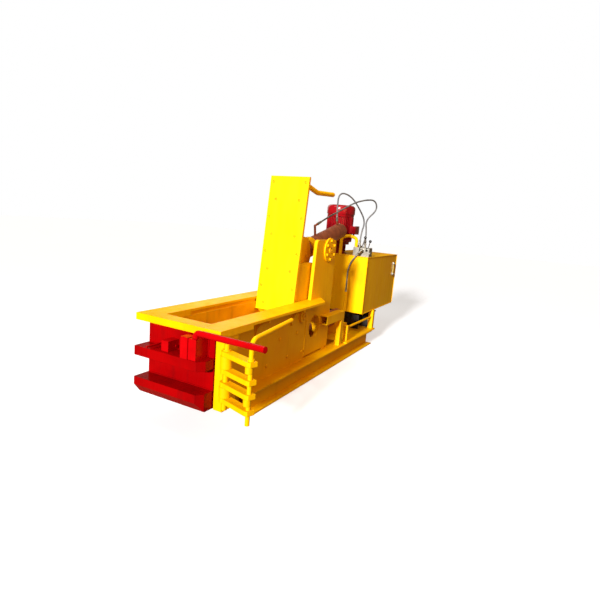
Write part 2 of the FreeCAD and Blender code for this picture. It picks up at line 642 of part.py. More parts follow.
# Steel pipes: pump to valve, and down from the hose's union to the main cylinder.
pump_pipe = bent_pipe(
    [(-48, 2630, TOP), (-48, 2630, 1222), (40, 2640, 1244), (120, 2664, 1224), (120, 2664, TOP + 96)],
    [40.0, 60.0, 40.0],
    18.0,
    13.0,
)
UNION = (119.0, PORT_Y, 640.0)
main_pipe = bent_pipe([UNION, (119, PORT_Y, PORT_Z), (88, PORT_Y, PORT_Z)], [22.0], 9.0, 6.0)
main_pipe = main_pipe.fuse(rod(14, (119, PORT_Y, 598), UNION)).removeSplitter()
keep("steel_pipe", Part.makeCompound([pump_pipe, main_pipe]))

# Hoses: two to the swinging lid cylinder, one down to the main cylinder.
HOSE = 16.0
valve_top = TOP + 96 + 28
rod_side = [
    tuple(rod_elbow + rod_way * 34),
    tuple(rod_elbow + rod_way * 200),
    (105, 2160, 1495),
    (160, 2370, 1590),
    (215, 2570, 1640),
    (265, 2735, 1650),
    (276, 2790, 1545),
    (190, 2690, 1430),
    (205, 2715, 1300),
    (205, 2715, valve_top),
]
keep("hose_rod_side", hose(rod_side, HOSE))
cap_side = [
    tuple(port_points[1]),
    tuple(port_points[1] + V(0, -math.sin(lean), math.cos(lean)) * 124),
    (-2, 2330, 1690),
    (65, 2500, 1672),
    (125, 2640, 1545),
    (172, 2735, 1410),
    (150, 2692, 1270),
    (150, 2692, valve_top),
]
keep("hose_cap_side", hose(cap_side, HOSE))
ram_side = [
    tuple(elbow_end),
    tuple(elbow_end + elbow_way * 120),
    (98, 2545, 870),
    (112, 2512, 780),
    (119, PORT_Y, 715),
    UNION,
]
keep("hose_ram", hose(ram_side, HOSE))

os.makedirs("parts", exist_ok=True)
for name, shape in parts.items():
    if not shape.isValid() or len(shape.Solids) < 1:
        print("check", name, shape.isValid(), len(shape.Solids))
    shape.exportStep("parts/%s.step" % name)
print(len(parts), "nodes", "tilt %.3f reach %.3f" % (TILT, PIN_REACH))
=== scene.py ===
import math
import bmesh
import bpy
from mathutils import Matrix, Vector


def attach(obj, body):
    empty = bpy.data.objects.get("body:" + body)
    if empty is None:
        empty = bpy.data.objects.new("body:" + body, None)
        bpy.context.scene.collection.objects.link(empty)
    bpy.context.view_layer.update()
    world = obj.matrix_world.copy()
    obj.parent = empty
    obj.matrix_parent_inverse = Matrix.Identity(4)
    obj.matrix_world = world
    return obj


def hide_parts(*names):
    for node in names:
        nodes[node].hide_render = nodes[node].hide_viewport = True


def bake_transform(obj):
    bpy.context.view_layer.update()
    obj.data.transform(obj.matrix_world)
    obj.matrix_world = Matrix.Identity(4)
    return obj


# Small hydraulic scrap baler: yellow enamelled trough and frame, red door and motor

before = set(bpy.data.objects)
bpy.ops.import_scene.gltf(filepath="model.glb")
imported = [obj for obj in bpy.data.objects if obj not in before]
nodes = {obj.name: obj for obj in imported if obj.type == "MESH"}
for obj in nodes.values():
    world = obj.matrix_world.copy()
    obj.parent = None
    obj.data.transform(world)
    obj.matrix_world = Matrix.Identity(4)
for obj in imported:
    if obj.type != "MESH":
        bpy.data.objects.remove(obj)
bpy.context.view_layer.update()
print("frame loaded:", len(nodes), "nodes")


cameraLook = {
    "place": (1.9229, -3.5664, 1.3802),
    "turnLeft": 27.35,  # degrees left of +Y
    "lookDown": 10.19,
    "roll": 4.82,
    "lens": 26.9,
}


def makeCamera():
    turn = math.radians(cameraLook["turnLeft"])
    down = math.radians(cameraLook["lookDown"])
    forward = Vector((-math.sin(turn) * math.cos(down), math.cos(turn) * math.cos(down),
                      -math.sin(down)))
    level = Vector((math.cos(turn), math.sin(turn), 0))
    upright = level.cross(forward)
    roll = math.radians(cameraLook["roll"])
    right = math.cos(roll) * level + math.sin(roll) * upright
    up = math.cos(roll) * upright - math.sin(roll) * level
    lens = bpy.data.cameras.new("camera")
    lens.lens = cameraLook["lens"]
    lens.sensor_width = 36.0
    camera = bpy.data.objects.new("camera", lens)
    axes = Matrix((right, up, -forward)).transposed().to_4x4()
    camera.matrix_world = Matrix.Translation(cameraLook["place"]) @ axes
    bpy.context.collection.objects.link(camera)
    bpy.context.scene.camera = camera


makeCamera()
print("camera placed")


def linearColour(hexCode):
    channels = [int(hexCode[i:i + 2], 16) / 255 for i in (1, 3, 5)]
    return tuple(c / 12.92 if c <= 0.04045 else ((c + 0.055) / 1.055) ** 2.4 for c in channels) + (1.0,)


def addNode(material, kind, settings=None, values=None, links=None):
    node = material.node_tree.nodes.new(kind)
    for name, value in (settings or {}).items():
        setattr(node, name, value)
    for name, value in (values or {}).items():
        node.inputs[name].default_value = value
    for name, source in (links or {}).items():
        material.node_tree.links.new(source, node.inputs[name])
    return node


def startMaterial(name, shaderValues):
    material = bpy.data.materials.new(name)
    material.use_nodes = True
    shader = material.node_tree.nodes["Principled BSDF"]
    for name, value in shaderValues.items():
        shader.inputs[name].default_value = value
    return material, shader


def paintedSteel(name, look):
    # alkyd enamel sprayed on hot-rolled plate: uneven coat, run marks, chips on the edges
    material, shader = startMaterial(name, {
        "Specular IOR Level": look["specular"],
        "Coat Weight": look["coat"],
        "Coat Roughness": 0.12,
    })
    link = material.node_tree.links.new
    place = addNode(material, "ShaderNodeTexCoord").outputs["Object"]
    patch = addNode(material, "ShaderNodeTexNoise", None,
                    {"Scale": 1 / look["patchSize"], "Detail": 4.0, "Roughness": 0.55},
                    {"Vector": place})
    tone = addNode(material, "ShaderNodeMapRange", None,
                   {"From Min": 0.36, "From Max": 0.66}, {"Value": patch.outputs["Fac"]})
    coat = addNode(material, "ShaderNodeMix", {"data_type": "RGBA"},
                   {6: linearColour(look["colour"]), 7: linearColour(look["thickColour"])},
                   {0: tone.outputs["Result"]})
    # run marks and grime stretch downwards, about 60 mm apart and half a metre long
    stretched = addNode(material, "ShaderNodeMapping", None, {"Scale": (16.0, 16.0, 2.0)},
                        {"Vector": place})
    run = addNode(material, "ShaderNodeTexNoise", None,
                  {"Scale": 1.0, "Detail": 5.0, "Roughness": 0.6},
                  {"Vector": stretched.outputs["Vector"]})
    grime = addNode(material, "ShaderNodeMapRange", None,
                    {"From Min": 0.54, "From Max": 0.78, "To Max": look["grime"]},
                    {"Value": run.outputs["Fac"]})
    dirty = addNode(material, "ShaderNodeMix", {"data_type": "RGBA"},
                    {7: linearColour(look["grimeColour"])},
                    {0: grime.outputs["Result"], 6: coat.outputs[2]})
    # edges are found where a 4 mm rounding would turn the surface
    rounded = addNode(material, "ShaderNodeBevel", {"samples": 4}, {"Radius": 0.004})
    surface = addNode(material, "ShaderNodeNewGeometry")
    turned = addNode(material, "ShaderNodeVectorMath", {"operation": "DOT_PRODUCT"}, None,
                     {0: rounded.outputs["Normal"], 1: surface.outputs["Normal"]})
    edge = addNode(material, "ShaderNodeMapRange", None,
                   {"From Min": 0.99, "From Max": 0.84}, {"Value": turned.outputs["Value"]})
    # chips about 20 mm long, drawn larger than the real 5 mm so that they show
    chip = addNode(material, "ShaderNodeTexNoise", None,
                   {"Scale": 48.0, "Detail": 5.0, "Roughness": 0.7}, {"Vector": place})
    chipped = addNode(material, "ShaderNodeMapRange", None,
                      {"From Min": 0.53, "From Max": 0.6, "To Max": look["chips"]},
                      {"Value": chip.outputs["Fac"]})
    wear = addNode(material, "ShaderNodeMath", {"operation": "MULTIPLY"}, None,
                   {0: edge.outputs["Result"], 1: chipped.outputs["Result"]})
    worn = addNode(material, "ShaderNodeMix", {"data_type": "RGBA"},
                   {7: linearColour(look["underColour"])},
                   {0: wear.outputs["Value"], 6: dirty.outputs[2]})
    link(worn.outputs[2], shader.inputs["Base Color"])
    dull = addNode(material, "ShaderNodeMapRange", None,
                   {"From Min": 0.3, "From Max": 0.75, "To Min": look["gloss"],
                    "To Max": look["gloss"] + 0.2},
                   {"Value": run.outputs["Fac"]})
    link(dull.outputs["Result"], shader.inputs["Roughness"])
    # orange peel at 8 mm, coarser than the real 1 mm so that it shows, over slow waves in the plate
    peel = addNode(material, "ShaderNodeTexNoise", None, {"Scale": 125.0, "Detail": 2.0},
                   {"Vector": place})
    wave = addNode(material, "ShaderNodeTexNoise", None, {"Scale": 5.0, "Detail": 2.0},
                   {"Vector": place})
    waved = addNode(material, "ShaderNodeBump", None, {"Strength": 0.25, "Distance": 0.01},
                    {"Height": wave.outputs["Fac"], "Normal": rounded.outputs["Normal"]})
    peeled = addNode(material, "ShaderNodeBump", None,
                     {"Strength": look["peel"], "Distance": 0.0006},
                     {"Height": peel.outputs["Fac"], "Normal": waved.outputs["Normal"]})
    link(peeled.outputs["Normal"], shader.inputs["Normal"])
    return material


def bareSteel(name, look):
    # uncoated steel: turning or brushing lines along one way, a little brown stain
    material, shader = startMaterial(name,
                                     {"Metallic": look["metallic"], "Specular IOR Level": 0.5})
    link = material.node_tree.links.new
    place = addNode(material, "ShaderNodeTexCoord").outputs["Object"]
    lines = addNode(material, "ShaderNodeMapping", None, {"Scale": look["lineScale"]},
                    {"Vector": place})
    brushed = addNode(material, "ShaderNodeTexNoise", None,
                      {"Scale": 1.0, "Detail": 3.0}, {"Vector": lines.outputs["Vector"]})
    spot = addNode(material, "ShaderNodeTexNoise", None,
                   {"Scale": 22.0, "Detail": 5.0, "Roughness": 0.65}, {"Vector": place})
    stain = addNode(material, "ShaderNodeMapRange", None,
                    {"From Min": 0.5, "From Max": 0.75, "To Max": look["stain"]},
                    {"Value": spot.outputs["Fac"]})
    colour = addNode(material, "ShaderNodeMix", {"data_type": "RGBA"},
                     {6: linearColour(look["colour"]), 7: linearColour(look["stainColour"])},
                     {0: stain.outputs["Result"]})
    link(colour.outputs[2], shader.inputs["Base Color"])
    dull = addNode(material, "ShaderNodeMapRange", None,
                   {"From Min": 0.3, "From Max": 0.7, "To Min": look["rough"],
                    "To Max": look["rough"] + 0.16},
                   {"Value": brushed.outputs["Fac"]})
    link(dull.outputs["Result"], shader.inputs["Roughness"])
    rounded = addNode(material, "ShaderNodeBevel", {"samples": 4}, {"Radius": 0.002})
    bump = addNode(material, "ShaderNodeBump", None, {"Strength": look["bump"], "Distance": 0.0005},
                   {"Height": brushed.outputs["Fac"], "Normal": rounded.outputs["Normal"]})
    link(bump.outputs["Normal"], shader.inputs["Normal"])
    return material


def hoseRubberMaterial():
    # nitrile cover with the print of its wrapping cloth, rings about 9 mm apart, greyed by dust
    material, shader = startMaterial("wrappedRubberCover", {"Specular IOR Level": 0.4})
    link = material.node_tree.links.new
    place = addNode(material, "ShaderNodeTexCoord").outputs["Object"]
    dust = addNode(material, "ShaderNodeTexNoise", None,
                   {"Scale": 14.0, "Detail": 5.0, "Roughness": 0.7}, {"Vector": place})
    share = addNode(material, "ShaderNodeMapRange", None,
                    {"From Min": 0.38, "From Max": 0.68}, {"Value": dust.outputs["Fac"]})
    colour = addNode(material, "ShaderNodeMix", {"data_type": "RGBA"},
                     {6: linearColour("#4A4A4C"), 7: linearColour("#7E7B78")},
                     {0: share.outputs["Result"]})
    link(colour.outputs[2], shader.inputs["Base Color"])
    wrap = addNode(material, "ShaderNodeTexWave",
                   {"wave_type": "BANDS", "bands_direction": "DIAGONAL"},
                   {"Scale": 70.0, "Distortion": 1.5, "Detail": 2.0}, {"Vector": place})
    bump = addNode(material, "ShaderNodeBump", None, {"Strength": 0.5, "Distance": 0.0008},
                   {"Height": wrap.outputs["Fac"]})
    link(bump.outputs["Normal"], shader.inputs["Normal"])
    shader.inputs["Roughness"].default_value = 0.48
    return material


def mouldedPlastic(name, look):
    # moulded thermoset or acrylic: even colour, faint flow marks, small scuffs
    material, shader = startMaterial(name, {
        "IOR": look["ior"],
        "Transmission Weight": look["clear"],
    })
    link = material.node_tree.links.new
    place = addNode(material, "ShaderNodeTexCoord").outputs["Object"]
    flow = addNode(material, "ShaderNodeTexNoise", None,
                   {"Scale": 60.0, "Detail": 4.0, "Roughness": 0.6}, {"Vector": place})
    share = addNode(material, "ShaderNodeMapRange", None,
                    {"From Min": 0.35, "From Max": 0.75}, {"Value": flow.outputs["Fac"]})
    colour = addNode(material, "ShaderNodeMix", {"data_type": "RGBA"},
                     {6: linearColour(look["colour"]), 7: linearColour(look["scuffColour"])},
                     {0: share.outputs["Result"]})
    link(colour.outputs[2], shader.inputs["Base Color"])
    dull = addNode(material, "ShaderNodeMapRange", None,
                   {"To Min": look["rough"], "To Max": look["rough"] + 0.2},
                   {"Value": flow.outputs["Fac"]})
    link(dull.outputs["Result"], shader.inputs["Roughness"])
    return material


yellowEnamel = paintedSteel("yellowAlkydEnamel", {
    "colour": "#F6BC00", "thickColour": "#F0AC00", "patchSize": 0.45, "grime": 0.18,
    "grimeColour": "#9A5C00",
    "underColour": "#7A4E24", "chips": 0.7, "gloss": 0.34, "peel": 0.25, "specular": 0.08,
    "coat": 0.0,
})
wornYellow = paintedSteel("scuffedYellowEnamel", {
    "colour": "#F2AE00", "thickColour": "#E09A00", "patchSize": 0.2, "grime": 0.32,
    "grimeColour": "#6B4A1C",
    "underColour": "#7C7368", "chips": 0.9, "gloss": 0.36, "peel": 0.3, "specular": 0.12,
    "coat": 0.0,
})
redEnamel = paintedSteel("redGlossEnamel", {
    "colour": "#9A0103", "thickColour": "#820103", "patchSize": 0.3, "grime": 0.3,
    "grimeColour": "#300305",
    "underColour": "#4A1A14", "chips": 0.55, "gloss": 0.2, "peel": 0.3, "specular": 0.05,
    "coat": 0.02,
})
# painted light: a lighter copy of the red enamel for the door stiffener, door lever and slide bolt,
# standing in for the light their front faces catch
brighterLitRed = paintedSteel("brighterLitRedGlossEnamel", {
    "colour": "#BC0308", "thickColour": "#A60206", "patchSize": 0.2, "grime": 0.15,
    "grimeColour": "#3A0608",
    "underColour": "#4A1A14", "chips": 0.5, "gloss": 0.2, "peel": 0.3, "specular": 0.06,
    "coat": 0.02,
})
motorRed = paintedSteel("redMotorEnamel", {
    "colour": "#930510", "thickColour": "#7A0410", "patchSize": 0.15, "grime": 0.35,
    "grimeColour": "#2C0609",
    "underColour": "#3A3634", "chips": 0.5, "gloss": 0.14, "peel": 0.2, "specular": 0.3,
    "coat": 0.25,
})
brownPrimer = paintedSteel("brownRedOxidePrimer", {
    "colour": "#A8613F", "thickColour": "#8E4C33", "patchSize": 0.12, "grime": 0.45,
    "grimeColour": "#43291C",
    "underColour": "#8B857E", "chips": 0.8, "gloss": 0.46, "peel": 0.4, "specular": 0.35,
    "coat": 0.0,
})
chromedRod = bareSteel("hardChromedRod", {
    "colour": "#D4D6D8", "stainColour": "#9A9894", "stain": 0.35, "metallic": 1.0, "rough": 0.12,
    "bump": 0.08,
    "lineScale": (260.0, 40.0, 260.0),
})
zincSteel = bareSteel("zincPlatedSteel", {
    "colour": "#9C998E", "stainColour": "#6E6248", "stain": 0.7, "metallic": 1.0, "rough": 0.4,
    "bump": 0.2,
    "lineScale": (150.0, 150.0, 40.0),
})
# dark oiled steel for the coupling, also used as painted shade on the plates under the tank
darkSteelAndShade = bareSteel("oiledDarkSteelAndPaintedShade", {
    "colour": "#3C3A38", "stainColour": "#5A4030", "stain": 0.6, "metallic": 0.8, "rough": 0.4,
    "bump": 0.3,
    "lineScale": (120.0, 120.0, 60.0),
})
blackPhenolic = mouldedPlastic("blackPhenolicResin", {
    "colour": "#101011", "scuffColour": "#242426", "rough": 0.14, "ior": 1.6, "clear": 0.0,
})
gaugeAcrylic = mouldedPlastic("amberAcrylicTube", {
    "colour": "#CDB25E", "scuffColour": "#B8943C", "rough": 0.25, "ior": 1.49, "clear": 0.25,
})
hoseCover = hoseRubberMaterial()
print("materials ready:", len(bpy.data.materials))

nodeFinish = {
    "floor_plate": wornYellow,
    "liners": wornYellow,
    "ram": wornYellow,
    "main_rod": chromedRod,
    "lid_rod": chromedRod,
    "cam_shaft": yellowEnamel,
    "lock_pin": yellowEnamel,
    # painted light: these three parts take the lighter copy of the red enamel
    "door_stiffener": brighterLitRed,
    "door_lever": brighterLitRed,
    "slide_bolt": brighterLitRed,
    "coupling": darkSteelAndShade,
    # painted shade: the plates under the tank take the dark steel so that they stand in for the deep
    # shade between the legs
    "under_plates": darkSteelAndShade,
    "drain_valve": zincSteel,
    "valve_block": zincSteel,
    "valve_lever_1": zincSteel,
    "valve_lever_2": zincSteel,
    "breather": zincSteel,
    "level_gauge": gaugeAcrylic,
    "hose_ram": hoseCover,
    "hose_rod_side": hoseCover,
    "hose_cap_side": hoseCover,
}
redNodes = ("door_plate", "door_rib_upper", "door_rib_lower", "door_knuckles", "door_hinge_pin")
brownNodes = ("lid_barrel", "main_barrel", "main_gland")
motorNodes = ("motor_body", "motor_cowl", "terminal_box", "bell_housing")


def paintNodes():
    for name, item in nodes.items():
        finish = nodeFinish.get(name, yellowEnamel)
        if name in redNodes:
            finish = redEnamel
        if name in brownNodes:
            finish = brownPrimer
        if name in motorNodes:
            finish = motorRed
        for slot in item.material_slots:
            slot.material = finish
        if not item.material_slots:
            item.data.materials.append(finish)


paintNodes()
print("nodes painted")


# hoses, as smooth splines through their routes
hoseDiameter = 0.016
hoseRoutes = {
    "hoseRodSide": {
        "node": "hose_rod_side",
        "points": [
            (0.0104, 0.3593, 1.3467), (0.0613, 0.4956, 1.4266), (0.105, 0.66, 1.495),
            (0.16, 0.87, 1.59),
            (0.215, 1.07, 1.64), (0.265, 1.235, 1.65), (0.276, 1.29, 1.545), (0.19, 1.19, 1.43),
            (0.205, 1.215, 1.3), (0.205, 1.215, 1.156),
        ],
    },
    "hoseCapSide": {
        "node": "hose_cap_side",
        "points": [
            (0.0, 0.8457, 1.3914), (0.0, 0.8181, 1.5123), (-0.002, 0.83, 1.69), (0.065, 1.0, 1.672),
            (0.125, 1.14, 1.545), (0.172, 1.235, 1.41), (0.15, 1.192, 1.27), (0.15, 1.192, 1.156),
        ],
    },
    "hoseMainSide": {
        "node": "hose_ram",
        "points": [
            (0.1927, 1.0793, 1.0719), (0.1182, 1.0695, 0.9783), (0.098, 1.045, 0.87),
            (0.112, 1.012, 0.78),
            (0.119, 1.0, 0.715), (0.119, 1.0, 0.64),
        ],
    },
}


hoseFacts = {
    # bends between these two places along the machine
    "hoseRodSide": {"length": 1.49, "bend": (0.4, 1.18)},
    "hoseCapSide": {"length": 1.06, "bend": (0.86, 1.17)},
    "hoseMainSide": {"length": 0.47, "bend": None},
}


def makeHose(name, route):
    curve = bpy.data.curves.new(name, "CURVE")
    curve.dimensions = "3D"
    curve.bevel_depth = hoseDiameter / 2
    curve.bevel_resolution = 4
    curve.resolution_u = 14
    curve.use_fill_caps = True
    spline = curve.splines.new("NURBS")
    spline.points.add(len(route["points"]) - 1)
    for point, place in zip(spline.points, route["points"]):
        point.co = (*place, 1.0)
    spline.order_u = 3
    spline.use_endpoint_u = True
    curve.materials.append(hoseCover)
    hose = bpy.data.objects.new(name, curve)
    bpy.context.collection.objects.link(hose)
    if not hoseFacts[name]["bend"]:
        return hose, None
    # a hose that bends across the swinging cylinder is a tube of faces round the same line
    tube = bpy.data.meshes.new_from_object(hose)
    curve.bevel_depth = 0.0
    line = bpy.data.meshes.new_from_object(hose)
    path = [tuple(v.co) for v in line.vertices]
    bpy.data.objects.remove(hose)
    for face in tube.polygons:
        face.use_smooth = True
    hose = bpy.data.objects.new(name, tube)
    bpy.context.collection.objects.link(hose)
    return hose, path


hoses = {name: makeHose(name, route) for name, route in hoseRoutes.items()}
print("hoses laid:", len(hoses))


def standing(place, direction=(0, 0, 1)):
    # turns the Z axis to the direction, then moves to the place
    turn = Vector((0, 0, 1)).rotation_difference(Vector(direction).normalized())
    return Matrix.Translation(Vector(place)) @ turn.to_matrix().to_4x4()


def turnedShape(profile, place, steps=32):
    # profile is (radius, height) from bottom to top, spun about its own axis
    shape = bmesh.new()
    points = [shape.verts.new((max(radius, 0.0), 0.0, height)) for radius, height in profile]
    edges = [shape.edges.new(pair) for pair in zip(points, points[1:])]
    bmesh.ops.spin(shape, geom=points + edges, cent=(0, 0, 0), axis=(0, 0, 1), angle=math.tau,
                   steps=steps,
                   use_merge=True)
    bmesh.ops.remove_doubles(shape, verts=shape.verts, dist=0.00002)
    bmesh.ops.recalc_face_normals(shape, faces=shape.faces)
    bmesh.ops.transform(shape, matrix=place, verts=shape.verts)
    return shape


def blockShape(size, place, rounding=0.002, segments=2):
    shape = bmesh.new()
    bmesh.ops.create_cube(shape, size=1.0)
    bmesh.ops.scale(shape, vec=size, verts=shape.verts)
    if rounding:
        bmesh.ops.bevel(shape, geom=list(shape.edges), offset=rounding, offset_type="OFFSET",
                        segments=segments,
                        profile=0.5, affect="EDGES", material=-1)
    bmesh.ops.transform(shape, matrix=place, verts=shape.verts)
    return shape


def hexShape(acrossFlats, height, place, chamfer=0.001):
    shape = bmesh.new()
    radius = acrossFlats / 2 / math.cos(math.pi / 6)
    bmesh.ops.create_cone(shape, cap_ends=True, segments=6, radius1=radius, radius2=radius,
                          depth=height)
    bmesh.ops.translate(shape, vec=(0, 0, height / 2), verts=shape.verts)
    top = [e for e in shape.edges if all(v.co.z > height - 0.0001 for v in e.verts)]
    bmesh.ops.bevel(shape, geom=top, offset=chamfer, offset_type="OFFSET", segments=2, profile=0.5,
                    affect="EDGES", material=-1)
    bmesh.ops.transform(shape, matrix=place, verts=shape.verts)
    return shape


def beadShape(start, end, size):
    # a weld bead lying in a corner: a rod whose ripples are 7 mm apart
    start = Vector(start)
    end = Vector(end)
    length = (end - start).length
    shape = bmesh.new()
    bmesh.ops.create_cone(shape, cap_ends=True, segments=8, radius1=size, radius2=size,
                          depth=length)
    sides = [e for e in shape.edges if abs(e.verts[0].co.z - e.verts[1].co.z) > length / 2]
    bmesh.ops.subdivide_edges(shape, edges=sides, cuts=max(3, int(length / 0.0035)))
    for vert in shape.verts:
        ripple = 1.0 + 0.16 * math.sin(math.tau * vert.co.z / 0.007) + 0.1 * math.sin(vert.co.z * 97.0)
        ripple = ripple * (0.7 if abs(vert.co.z) > length / 2 - 0.001 else 1.0)
        vert.co.x *= ripple
        vert.co.y *= ripple
    bmesh.ops.transform(shape, matrix=standing((start + end) / 2, end - start), verts=shape.verts)
    return shape


def makePiece(name, shapes, body, material, sharpAngle=35.0):
    whole = bmesh.new()
    for shape in shapes:
        part = bpy.data.meshes.new("part")
        shape.to_mesh(part)
        whole.from_mesh(part)
        bpy.data.meshes.remove(part)
        shape.free()
    for face in whole.faces:
        face.smooth = True
    for edge in whole.edges:
        edge.smooth = edge.is_manifold and edge.calc_face_angle() < math.radians(sharpAngle)
    mesh = bpy.data.meshes.new(name)
    whole.to_mesh(mesh)
    whole.free()
    mesh.materials.append(material)
    piece = bpy.data.objects.new(name, mesh)
    bpy.context.collection.objects.link(piece)
    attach(piece, body)
    return piece


# hose ends: swivel nut and crimped ferrule with three grooves
fittingLook = {"acrossFlats": 0.024, "nutLength": 0.016, "ferruleRadius": 0.0118,
               "ferruleLength": 0.036}


def hoseEnd(name, place, direction, body):
    nut = fittingLook["nutLength"]
    wide = fittingLook["ferruleRadius"]
    long = fittingLook["ferruleLength"]
    profile = [(0.0, nut), (0.0095, nut), (0.0095, nut + 0.004), (wide, nut + 0.005)]
    for step in range(3):
        low = nut + 0.01 + step * 0.008
        profile += [(wide, low), (wide - 0.0014, low + 0.001), (wide - 0.0014, low + 0.003),
                    (wide, low + 0.004)]
    profile += [(wide, nut + long - 0.003), (wide - 0.0025, nut + long), (0.0, nut + long)]
    way = standing(place, direction)
    shapes = [hexShape(fittingLook["acrossFlats"], nut, way), turnedShape(profile, way, 20)]
    return makePiece(name, shapes, body, zincSteel)


for name, route in hoseRoutes.items():
    points = [Vector(p) for p in route["points"]]
    startBody = "root" if name == "hoseMainSide" else "lid_cylinder"
    hoseEnd(name + "StartFitting", points[0], points[1] - points[0], startBody)
    hoseEnd(name + "EndFitting", points[-1], points[-2] - points[-1], "root")
print("hose ends made")


def settleHoses():
    for name, (hose, path) in hoses.items():
        fact = hoseFacts[name]
        if fact["bend"]:
            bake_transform(hose)
        else:
            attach(hose, "root")
        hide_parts(hoseRoutes[name]["node"])


settleHoses()


# motor: ribbed frame between two end shields, and the fan cowl over it
motorLook = {"centre": (-0.15, 1.28), "foot": 1.152, "core": 0.137, "ribReach": 0.151, "ribs": 44}


def makeMotor():
    x, y = motorLook["centre"]
    low = motorLook["foot"]
    upright = standing((x, y, low))
    core = motorLook["core"]
    body = [
        (0.0, 0.0), (0.125, 0.0), (0.125, 0.014), (0.146, 0.016), (0.151, 0.022), (0.151, 0.044),
        (core, 0.05),
        (core, 0.29), (0.149, 0.296), (0.152, 0.302), (0.152, 0.33), (0.0, 0.33),
    ]
    shapes = [turnedShape(body, upright, 64)]
    for number in range(motorLook["ribs"]):
        turn = math.tau * number / motorLook["ribs"]
        out = Vector((math.cos(turn), math.sin(turn), 0))
        middle = Vector((x, y, low + 0.17)) + out * (core + motorLook["ribReach"]) / 2
        turnedRib = Matrix.Translation(middle) @ Matrix.Rotation(turn, 4, "Z")
        shapes.append(blockShape((motorLook["ribReach"] - core + 0.004, 0.004, 0.25), turnedRib,
                                 0.001, 1))
    for number in range(4):
        turn = math.tau * (number + 0.5) / 4
        spot = (x + 0.108 * math.cos(turn), y + 0.108 * math.sin(turn), low + 0.013)
        shapes.append(hexShape(0.019, 0.008, standing(spot)))
    motor = makePiece("motorFrame", shapes, "root", motorRed)
    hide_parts("motor_body")
    # the cowl's skirt stands proud of the frame; its roof has an air grille of slots between rings
    skirt = [
        (0.1535, 0.322), (0.159, 0.322), (0.16, 0.326), (0.16, 0.388), (0.157, 0.402),
        (0.149, 0.413),
        (0.136, 0.4215), (0.122, 0.424), (0.09, 0.424), (0.09, 0.42), (0.083, 0.42), (0.083, 0.424),
        (0.066, 0.424), (0.066, 0.42), (0.059, 0.42), (0.059, 0.424), (0.042, 0.424), (0.042, 0.42),
        (0.035, 0.42), (0.035, 0.424), (0.0, 0.424),
    ]
    inner = [(0.0, 0.416), (0.12, 0.416), (0.146, 0.404), (0.1535, 0.388), (0.1535, 0.322)]
    cowlShapes = [turnedShape(inner + skirt[1:], upright, 64)]
    for number in range(4):
        turn = math.tau * (number + 0.5) / 4
        out = (math.cos(turn), math.sin(turn), 0)
        spot = (x + 0.159 * out[0], y + 0.159 * out[1], low + 0.334)
        cowlShapes.append(hexShape(0.01, 0.004, standing(spot, out), 0.0006))
    cowl = makePiece("motorCowl", cowlShapes, "root", motorRed)
    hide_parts("motor_cowl")


makeMotor()
print("motor made")


# terminal box cover, its screws and the cable gland
terminalLook = {"low": (0.0, 1.22, 1.265), "high": (0.065, 1.33, 1.35)}


def makeTerminalCover():
    low = Vector(terminalLook["low"])
    high = Vector(terminalLook["high"])
    middle = (low + high) / 2
    size = high - low
    shapes = [blockShape((0.008, size.y + 0.008, size.z + 0.008),
                         standing((high.x + 0.004, middle.y, middle.z)),
                         0.003, 3)]
    makePiece("terminalCover", shapes, "root", motorRed)
    screws = []
    for y in (low.y + 0.01, high.y - 0.01):
        for z in (low.z + 0.01, high.z - 0.01):
            screws.append(turnedShape([(0, 0), (0.0045, 0), (0.0042, 0.0025), (0.003, 0.0034),
                                       (0, 0.0036)],
                                      standing((high.x + 0.008, y, z), (1, 0, 0)), 14))
    gland = standing((middle.x, middle.y, low.z), (0, 0, -1))
    screws.append(hexShape(0.022, 0.009, gland))
    screws.append(turnedShape([(0, 0.009), (0.0095, 0.009), (0.0095, 0.018), (0.006, 0.022),
                               (0, 0.022)], gland, 20))
    makePiece("terminalScrews", screws, "root", zincSteel)


makeTerminalCover()


# lever valve: end plugs, cartridge, port nuts, black ball knobs
valveLook = {
    "high": (0.286, 1.24, 1.128),  # the block's right, rear, top corner
    "spools": (0.18, 0.256),
    "spoolHeight": 1.07,
    "ports": ((0.15, 1.192), (0.205, 1.215)),
    "capScrews": ((0.112, 1.152), (0.112, 1.228), (0.274, 1.228)),  # clear of the right lever
}


def makeValveDetails():
    high = valveLook["high"]
    shapes = []
    level = valveLook["spoolHeight"]
    for x in valveLook["spools"]:
        spot = (x, high[1], level)
        shapes.append(turnedShape([(0, 0), (0.021, 0), (0.021, 0.03), (0.019, 0.033), (0, 0.033)],
                                  standing(spot, (0, 1, 0)), 24))
        shapes.append(hexShape(0.017, 0.008, standing((x, high[1] + 0.033, level), (0, 1, 0))))
    side = standing((high[0], 1.165, 1.068), (1, 0, 0))
    shapes.append(hexShape(0.027, 0.01, side))
    shapes.append(hexShape(0.022, 0.012, standing((0.1, 1.20, 1.075), (-1, 0, 0))))
    for x, y in valveLook["ports"]:
        shapes.append(hexShape(0.027, 0.012, standing((x, y, high[2]))))
    for x, y in valveLook["capScrews"]:
        shapes.append(turnedShape([(0, 0), (0.0065, 0), (0.0065, 0.006), (0.0058, 0.0072),
                                   (0.0036, 0.0072), (0.0036, 0.003), (0, 0.003)],
                                  standing((x, y, high[2])), 16))
    makePiece("valvePlugs", shapes, "root", zincSteel)


makeValveDetails()

knobLook = {"valve_lever_1": (0.225, 1.146, 1.24), "valve_lever_2": (0.286, 1.146, 1.204)}


def makeKnobs():
    for number, (body, place) in enumerate(knobLook.items(), 1):
        profile = [(0.0, -0.0155)]
        for step in range(1, 12):
            turn = math.pi * step / 12
            profile.append((0.0155 * math.sin(turn), -0.0155 * math.cos(turn)))
        profile.append((0.0, 0.0155))
        makePiece("leverKnob%d" % number, [turnedShape(profile, standing(place), 28)], body,
                  blackPhenolic)


makeKnobs()
print("valve details made")


# bolts round the bearing discs
boltLook = {"discRadius": 0.084, "discBolt": 0.022, "discCentre": (0.209, 1.125), "discFace": 0.241}


